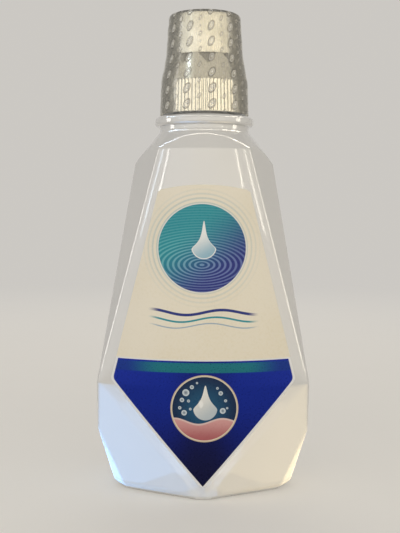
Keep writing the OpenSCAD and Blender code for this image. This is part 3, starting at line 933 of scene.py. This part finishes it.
def paint_ripples(t):
    """A disc of ripples round a drop, from teal at the upper left to navy, with a halo of thin rings."""
    away = t.radius(DISC_X, DISC_Z)
    spread = t.radius(DISC_X, DISC_Z - 9.0, 2.1)
    ripples = t.step(t.math("SINE", t.mul(spread, 2.1)), -0.2, 0.75)
    turn = t.step(t.mul_add(t.x, 0.6, t.mul(t.sub(DISC_Z, t.z), 0.8)), -15, 17)
    deep = t.blend(turn, rgb(0.012, 0.27, 0.33), rgb(0.012, 0.022, 0.2))
    light = t.blend(turn, rgb(0.22, 0.62, 0.63), rgb(0.2, 0.27, 0.56))
    fill = t.blend(t.mul(ripples, t.step(spread, 4, 52, 0.75, 0.2)), deep, light)
    halo = t.mul(t.step(t.math("SINE", t.mul(away, 2.6)), -0.1, 0.7), t.step(away, 25, 35, 0.5, 0.0))
    halo = t.mul(halo, t.step(turn, 0.0, 1.0, 1.0, 0.65))
    t.paint(t.mul(halo, t.step(away, 24.3, 24.6)), rgb(0.36, 0.5, 0.54))
    t.paint(t.inside(t.sub(away, DISC_R)), fill)
    t.paint(t.mul(t.inside(t.sub(away, DISC_R + 0.45)), t.step(away, 23.9, 24.05)), rgb(0.8, 0.79, 0.75))
    drop = t.drop(0, DISC_Z + 1.0, -2.0, 7.0, 0.5, 6.4)
    shade = t.step(t.mul_add(t.x, -0.5, t.sub(t.z, DISC_Z + 1.0)), -7, 8)
    t.paint(t.inside(t.sub(drop, 0.55)), rgb(0.84, 0.85, 0.85))
    t.paint(t.inside(drop), t.blend(shade, rgb(0.3, 0.5, 0.62), rgb(0.86, 0.88, 0.88)))


def paint_waves(t, across):
    """Three thin waves between the disc and the field, which fade at both ends."""
    for k, (middle, half, tone) in enumerate(WAVES):
        bend = t.mul_add(t.math("SINE", t.mul(t.add(t.x, 3.0 * k), 0.16)), 1.4, middle)
        off = t.sub(t.math("ABSOLUTE", t.sub(t.z, bend)), half)
        t.paint(t.mul(t.inside(off), t.step(across, 24.0, 31.0, 1.0, 0.0)), rgb(*tone))


def paint_field(t, across):
    """Navy field with a teal stripe along its top, inside a white border, and painted dark reflections in the
    navy. Returns the field's shape.
    """
    side, point = (t.mul_add(across, nx, t.mul_add(t.z, nz, -off)) for nx, nz, off in LABEL_LINES)
    outline = t.math("SMOOTH_MAX", side, point, 2.5)
    field = t.math("MAXIMUM", t.add(outline, 1.25), t.sub(t.z, FIELD_Z))
    # painted dark reflections of the foil ink: the navy darker towards the point and in a band down the
    # middle
    navy = t.blend(t.step(t.z, 8, 60), rgb(0.003, 0.004, 0.06), rgb(0.004, 0.02, 0.28))
    middle = t.mul(t.step(across, 3, 22, 0.7, 0.0), t.step(t.z, 20, 76, 1.0, 0.5))
    navy = t.blend(middle, navy, rgb(0.003, 0.004, 0.035))
    teal = t.blend(t.step(across, 22, 44), rgb(0.012, 0.16, 0.2), rgb(0.006, 0.03, 0.22))
    stripe = t.mul(t.step(t.z, 71.3, 71.5), t.inside(t.sub(t.z, FIELD_Z - 1.0)))
    t.paint(t.inside(t.sub(t.z, FIELD_Z + 0.7)), rgb(0.82, 0.82, 0.83))
    t.paint(t.inside(field), t.blend(stripe, navy, teal))
    return field


def paint_picture(t):
    """Round picture in a pale gold ring: a clear drop and bubbles over a coral wave."""
    ground = t.colour
    away = t.radius(PICTURE_X, PICTURE_Z)
    swell = t.mul_add(t.math("SINE", t.mul(t.sub(t.x, 4.0), 0.24)), 1.6, 44.6)
    depth = t.sub(t.z, swell)
    t.colour = t.blend(t.step(away, 6, 18), rgb(0.012, 0.075, 0.16), rgb(0.004, 0.02, 0.07))
    t.paint(t.inside(depth, 0.15), t.blend(t.step(t.z, 34, 46), rgb(0.42, 0.12, 0.13), rgb(0.66, 0.34, 0.33)))
    t.paint(t.mul(t.step(depth, -1.1, -0.2), t.inside(t.sub(depth, 0.25))), rgb(0.74, 0.55, 0.52))
    for x, z, r in BUBBLES:
        off = t.radius(x, z)
        t.paint(t.mul(t.inside(t.sub(off, r)), t.step(off, 0.0, r, 0.25, 0.9)), rgb(0.72, 0.8, 0.85))
    glow = t.step(t.mul_add(t.x, -0.7, t.sub(t.z, 51.8)), -8, 8)
    drop_tone = t.blend(glow, rgb(0.5, 0.56, 0.6), rgb(0.82, 0.81, 0.77))
    t.paint(t.inside(t.drop(1.2, 51.8, -1.0, 5.5, 0.52, 6.6)), drop_tone)
    t.paint(t.inside(t.sub(t.radius(-1.2, 54.2, 0.6), 1.2), 0.5), rgb(0.9, 0.9, 0.88))
    picture, t.colour = t.colour, ground
    t.paint(t.inside(t.sub(away, PICTURE_R + 0.55)), rgb(0.62, 0.5, 0.36))
    t.paint(t.inside(t.sub(away, PICTURE_R - 0.1)), rgb(0.8, 0.72, 0.58))
    t.paint(t.inside(t.sub(away, PICTURE_R - 0.45)), picture)


def label_material():
    """Printed film. Foil shows through the inks of the field, but not through the pearl and the picture."""
    t = Artwork("printed_label_film")
    across = t.math("ABSOLUTE", t.x)
    fine = t.noise(0.7, 2)
    paint_pearl(t, fine)
    paint_ripples(t)
    paint_waves(t, across)
    field = paint_field(t, across)
    paint_picture(t)
    foil = t.blend(t.inside(field), rgb(0, 0, 0), rgb(0.5, 0.5, 0.5))
    foil = t.blend(t.inside(t.disc(PICTURE_X, PICTURE_Z, PICTURE_R + 0.5)), foil, rgb(0, 0, 0))
    rough = t.step(fine, 0.2, 0.8, 0.26, 0.31)
    normal = t.bump(t.noise(0.05, 2), 0.0002, 0.3)
    return t.finish(t.shader(
        "BsdfPrincipled", Base_Color=t.colour, Metallic=foil, Roughness=rough, Normal=normal,
        Specular_IOR_Level=0.2, Coat_Weight=0.05, Coat_Roughness=0.12,
    ))


def film_marks(t):
    """How milky the pressed ovals are, with a painted glint in each, and how dark the painted shade along
    their outlines is.
    """
    turn = t.mul(t.math("ARCTAN2", t.x, t.mul(t.y, -1.0)), MARK_N / (2 * math.pi))
    row = t.math("DIVIDE", t.sub(t.z, MARK_Z), MARK_TALL)

    def cell(dx, dz):
        a = t.sub(t.math("FRACT", t.add(turn, 50.5 + dx)), 0.5)
        b = t.sub(t.math("FRACT", t.add(row, 50.0 + dz)), 0.5)
        return t.mul(a, MARK_WIDE), t.mul(b, MARK_TALL)

    def oval(a, b, tilt, wide, tall):
        c, s = math.cos(tilt), math.sin(tilt)
        p = t.mul_add(a, c / wide, t.mul(b, s / wide))
        q = t.mul_add(a, -s / tall, t.mul(b, c / tall))
        return t.length(p, q)

    a, b = cell(MARK_SHIFT, 0.0)
    large = oval(a, b, MARK_TILT, *MARK_LARGE)
    small = oval(*cell(MARK_SHIFT + 0.5, 0.5), MARK_TILT, *MARK_SMALL)
    # core: a painted glint, an offset oval inside each large oval
    core = t.step(oval(t.sub(a, 0.15), t.sub(b, 0.2), MARK_TILT, 0.45, 1.1), 0.5, 1.0, 1.0, 0.0)
    dot = t.step(oval(*cell(MARK_SHIFT + 0.5, 0.0), 0.0, 0.55, 0.8), 0.6, 1.1, 1.0, 0.0)
    ring = t.between(large, 0.5, 0.9, 0.15, 0.15)
    small_ring = t.between(small, 0.35, 0.95, 0.2, 0.2)
    milky = t.add(t.mul_add(ring, 0.8, t.mul(core, 1.6)), t.mul_add(small_ring, 0.5, t.mul(dot, 0.4)))
    # painted shade along the outlines of the large and small ovals
    edge = t.between(large, 0.82, 1.25, 0.16, 0.17)
    dark = t.mul_add(t.between(small, 0.85, 1.35, 0.15, 0.25), 0.6, edge, clamp=True)
    return milky, dark


def film_material():
    """Clear film: mirror-like where seen at a slant, and milky where its small ovals are pressed in, with
    painted glints in them and painted shade along their rims.
    """
    t = Tree("clear_shrink_film")
    milky, dark = film_marks(t)
    normal = t.bump(t.noise(0.12, 3), 0.0005, 0.35)
    clear = t.shader("BsdfTransparent", Color=rgb(0.985, 0.98, 0.965))
    gloss = t.shader("BsdfGlossy", Color=rgb(0.95, 0.94, 0.9), Roughness=0.17, Normal=normal)
    milk = t.shader("BsdfDiffuse", Color=rgb(0.95, 0.93, 0.88), Normal=normal)
    # painted shade along the ovals' rims
    painted_rim_shade = t.shader("BsdfDiffuse", Color=rgb(0.3, 0.28, 0.24))
    slant = t.shader("Fresnel", IOR=1.45, Normal=normal)
    film = t.mix_shader(t.mul_add(slant, 1.2, 0.02, clamp=True), clear, gloss)
    film = t.mix_shader(t.mul_add(milky, 0.5, 0.06, clamp=True), film, milk)
    return t.finish(t.mix_shader(t.mul(dark, 0.3), film, painted_rim_shade))


cup_plastic = plastic_material(
    "natural_cup_plastic", (0.78, 0.8, 0.82), 0.22,
    Subsurface_Weight=0.15, Subsurface_Radius=(0.004, 0.004, 0.004),
)
assign(bottle, bottle_material())
assign(cap, silver_material())
assign(label, label_material())
assign(band, film_material())
assign(cup_thread, cup_plastic)
assign(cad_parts["dosing_cup"], cup_plastic)
assign(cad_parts["cap_liner"], plastic_material("seal_foam", (0.7, 0.7, 0.68), 0.6))


# Studio: floor, background and lamps. The tints run from daylight at the left to lamplight at the right
COOL = (0.7, 0.85, 1.0)
PALE = (0.92, 0.96, 1.0)
NEUTRAL = (1.0, 0.97, 0.91)
WARM = (1.0, 0.93, 0.78)
AMBIENT = 0.42
# Light of the floor and the wall as seen in the picture, on top of what the lamps give
FLOOR_LIFT = 0.21
WALL_SEEN = 0.6
BACKGROUND = rgb(1.0, 0.965, 0.91)
# Floor in metres: radius where it begins to curve up, radius of the curve, and the rings of its flat part
FLAT_R = 2.0
BOWL_R = 2.2
FLAT_RINGS = (0.3, 0.8, 1.4, FLAT_R)


def floor_material():
    """Pale floor that keeps the shadow near the object and turns into the plain background further out."""
    t = Tree("pale_floor")
    path = t.node("ShaderNodeLightPath").outputs
    mirrored_rays = t.add(path["Is Glossy Ray"], path["Is Transmission Ray"])
    seen = t.math("ADD", path["Is Camera Ray"], mirrored_rays, clamp=True)
    tint = t.blend(t.noise(0.01, 3), rgb(0.72, 0.7, 0.66), rgb(0.74, 0.72, 0.68))
    cloth = t.shader("BsdfDiffuse", Color=tint)
    lift = t.shader("Emission", Color=BACKGROUND, Strength=t.mul(seen, FLOOR_LIFT))
    wall = t.shader("Emission", Color=BACKGROUND, Strength=t.mul_add(seen, WALL_SEEN - AMBIENT, AMBIENT))
    near = t.node("ShaderNodeAddShader")
    t.put(near.inputs[0], cloth)
    t.put(near.inputs[1], lift)
    return t.finish(t.mix_shader(t.step(t.length(t.x, t.y), 300, 1300), near.outputs[0], wall))


def make_floor():
    line = [(r, 0) for r in FLAT_RINGS]
    for b in np.linspace(0.08, math.pi / 2, 20):
        line.append((FLAT_R + BOWL_R * math.sin(b), BOWL_R * (1 - math.cos(b))))
    line.append((FLAT_R + BOWL_R, 3.6))
    n = 96
    turns = np.linspace(0, 2 * math.pi, n, endpoint=False)
    verts = [(r * math.cos(a), r * math.sin(a), h) for r, h in line for a in turns] + [(0, 0, 0)]
    faces = []
    for j in range(0, n * (len(line) - 1), n):
        faces += [(j + k, j + n + k, j + n + (k + 1) % n, j + (k + 1) % n) for k in range(n)]
    faces += [(len(verts) - 1, k, (k + 1) % n) for k in range(n)]
    mesh = bpy.data.meshes.new("floor")
    mesh.from_pydata(verts, [], faces)
    mesh.shade_smooth()
    ob = bpy.data.objects.new("floor", mesh)
    scene.collection.objects.link(ob)
    ob.data.materials.append(floor_material())


def receivers(name, *obs):
    """A collection of the only pieces that a lamp lights."""
    group = bpy.data.collections.new(name)
    for ob in obs:
        group.objects.link(ob)
    return group


def area(name, azimuth, elevation, distance, size, power, tint, at=(0, 0, 0.13)):
    """A soft box seen from the object at that azimuth, clockwise from the camera's side, and elevation."""
    lamp = bpy.data.lights.new(name, "AREA")
    lamp.shape = "RECTANGLE"
    lamp.size, lamp.size_y = size
    lamp.energy = power
    lamp.color = tint
    ob = bpy.data.objects.new(name, lamp)
    scene.collection.objects.link(ob)
    az, el = math.radians(azimuth), math.radians(elevation)
    way = Vector((math.sin(az) * math.cos(el), -math.cos(az) * math.cos(el), math.sin(el)))
    ob.location = Vector(at) + way * distance
    ob.rotation_euler = (-way).to_track_quat("-Z", "Y").to_euler()
    ob.visible_camera = False
    return ob


make_floor()
# Upright soft boxes round the front and sides: name, azimuth, power and tint
for name, azimuth, power, tint in (
    ("front_far_left", -64, 1.8, PALE),
    ("front_left", -32, 3.05, (0.99, 0.965, 0.92)),
    ("front", 0, 3.1, (1.0, 0.94, 0.82)),
    ("front_right", 32, 3.1, WARM),
    ("front_far_right", 64, 1.8, WARM),
    ("side_left", -96, 0.35, (0.92, 0.95, 1.0)),
    ("side_right", 96, 0.35, (1.0, 0.94, 0.82)),
):
    area(name, azimuth, 0, 1.6, (0.918, 0.78), power, tint, at=(0, 0, 0.4))
streak = area("cap_streak", -47, 34, 1.5, (0.05, 0.25), 0.6, COOL)
streak.light_linking.receiver_collection = receivers("cap_highlights", cap, band)
area("back_soft", 180, 28, 1.6, (1.4, 0.9), 4.5, NEUTRAL).visible_glossy = False

# Highlights on the glossy bottle only, given by their radiance
bottle_only = receivers("bottle_highlights", bottle)


def shine(name, azimuth, elevation, distance, size, radiance, tint, at=(0, 0, 0.13)):
    ob = area(name, azimuth, elevation, distance, size, radiance * math.pi * size[0] * size[1], tint, at)
    ob.visible_diffuse = False
    ob.light_linking.receiver_collection = bottle_only
    return ob


# a high ring of lamps for the arch over the panel
for k, (azimuth, elevation, radiance, tint) in enumerate((
    (-100, 37, 7.0, COOL), (-76, 43, 7.0, COOL), (-50, 49, 5.0, NEUTRAL), (0, 49, 9.0, WARM),
    (50, 49, 5.0, WARM), (76, 43, 7.0, WARM), (100, 37, 7.0, WARM),
)):
    shine(f"arch_{k}", azimuth, elevation, 1.5, (0.93, 0.22), radiance, tint, at=(0, 0, 0.2))
# upright strips for the panel's long edges and its upper corners
shine("edge_0", -90, 9, 1.4, (0.3, 0.5), 5.5, NEUTRAL)
shine("edge_1", 84, 9, 1.4, (0.3, 0.5), 5.5, WARM)
for k, (azimuth, radiance, tint) in enumerate((
    (-59, 6.0, COOL), (-51.5, 9.0, NEUTRAL), (46.5, 8.0, WARM), (58, 6.0, WARM),
)):
    shine(f"streak_{k}", azimuth, 12, 1.5, (0.035, 0.26), radiance, tint, at=(0, 0, 0.18))
# cards by the foot: three at each side, one above another, because lamps in one plane hide each other
for side, tint, radiance in ((-1, (0.2, 0.5, 1.0), 1.4), (1, (1.0, 0.8, 0.45), 0.75)):
    for k in range(3):
        card = shine(f"card_{side}_{k}", 0, 90, 1.0, (0.2 + 0.1 * k, 0.12 + 0.07 * k), radiance, tint)
        card.location = (side * (0.115 + 0.03 * k), -0.085 - 0.015 * k, 0.006 - 0.002 * k)
        card.rotation_euler = (math.pi, 0, math.radians(-30 * side))

scene.world = bpy.data.worlds.new("studio")
scene.world.use_nodes = True
sky = scene.world.node_tree.nodes["Background"].inputs
sky["Color"].default_value = rgb(1.0, 0.98, 0.95)
sky["Strength"].default_value = AMBIENT

# Camera, fitted to the photograph: place in metres, tilt and roll in radians, focal length in its pixels
CAMERA_AT = (-0.002067, -0.49355, 0.16305)
TILT = 0.0725
ROLL = 0.0048
FOCAL_PIXELS = 850
PICTURE_PIXELS = 533
SENSOR = 36
lens = bpy.data.cameras.new("camera")
lens.sensor_fit = "AUTO"
lens.sensor_width = SENSOR
lens.lens = FOCAL_PIXELS / PICTURE_PIXELS * SENSOR
lens.clip_start = 0.05
lens.clip_end = 20
camera = bpy.data.objects.new("camera", lens)
camera.location = CAMERA_AT
turn = Matrix.Rotation(math.pi / 2 - TILT, 3, "X") @ Matrix.Rotation(ROLL, 3, "Z")
camera.rotation_euler = turn.to_euler()
scene.collection.objects.link(camera)
scene.camera = camera

scene.view_settings.view_transform = "Standard"
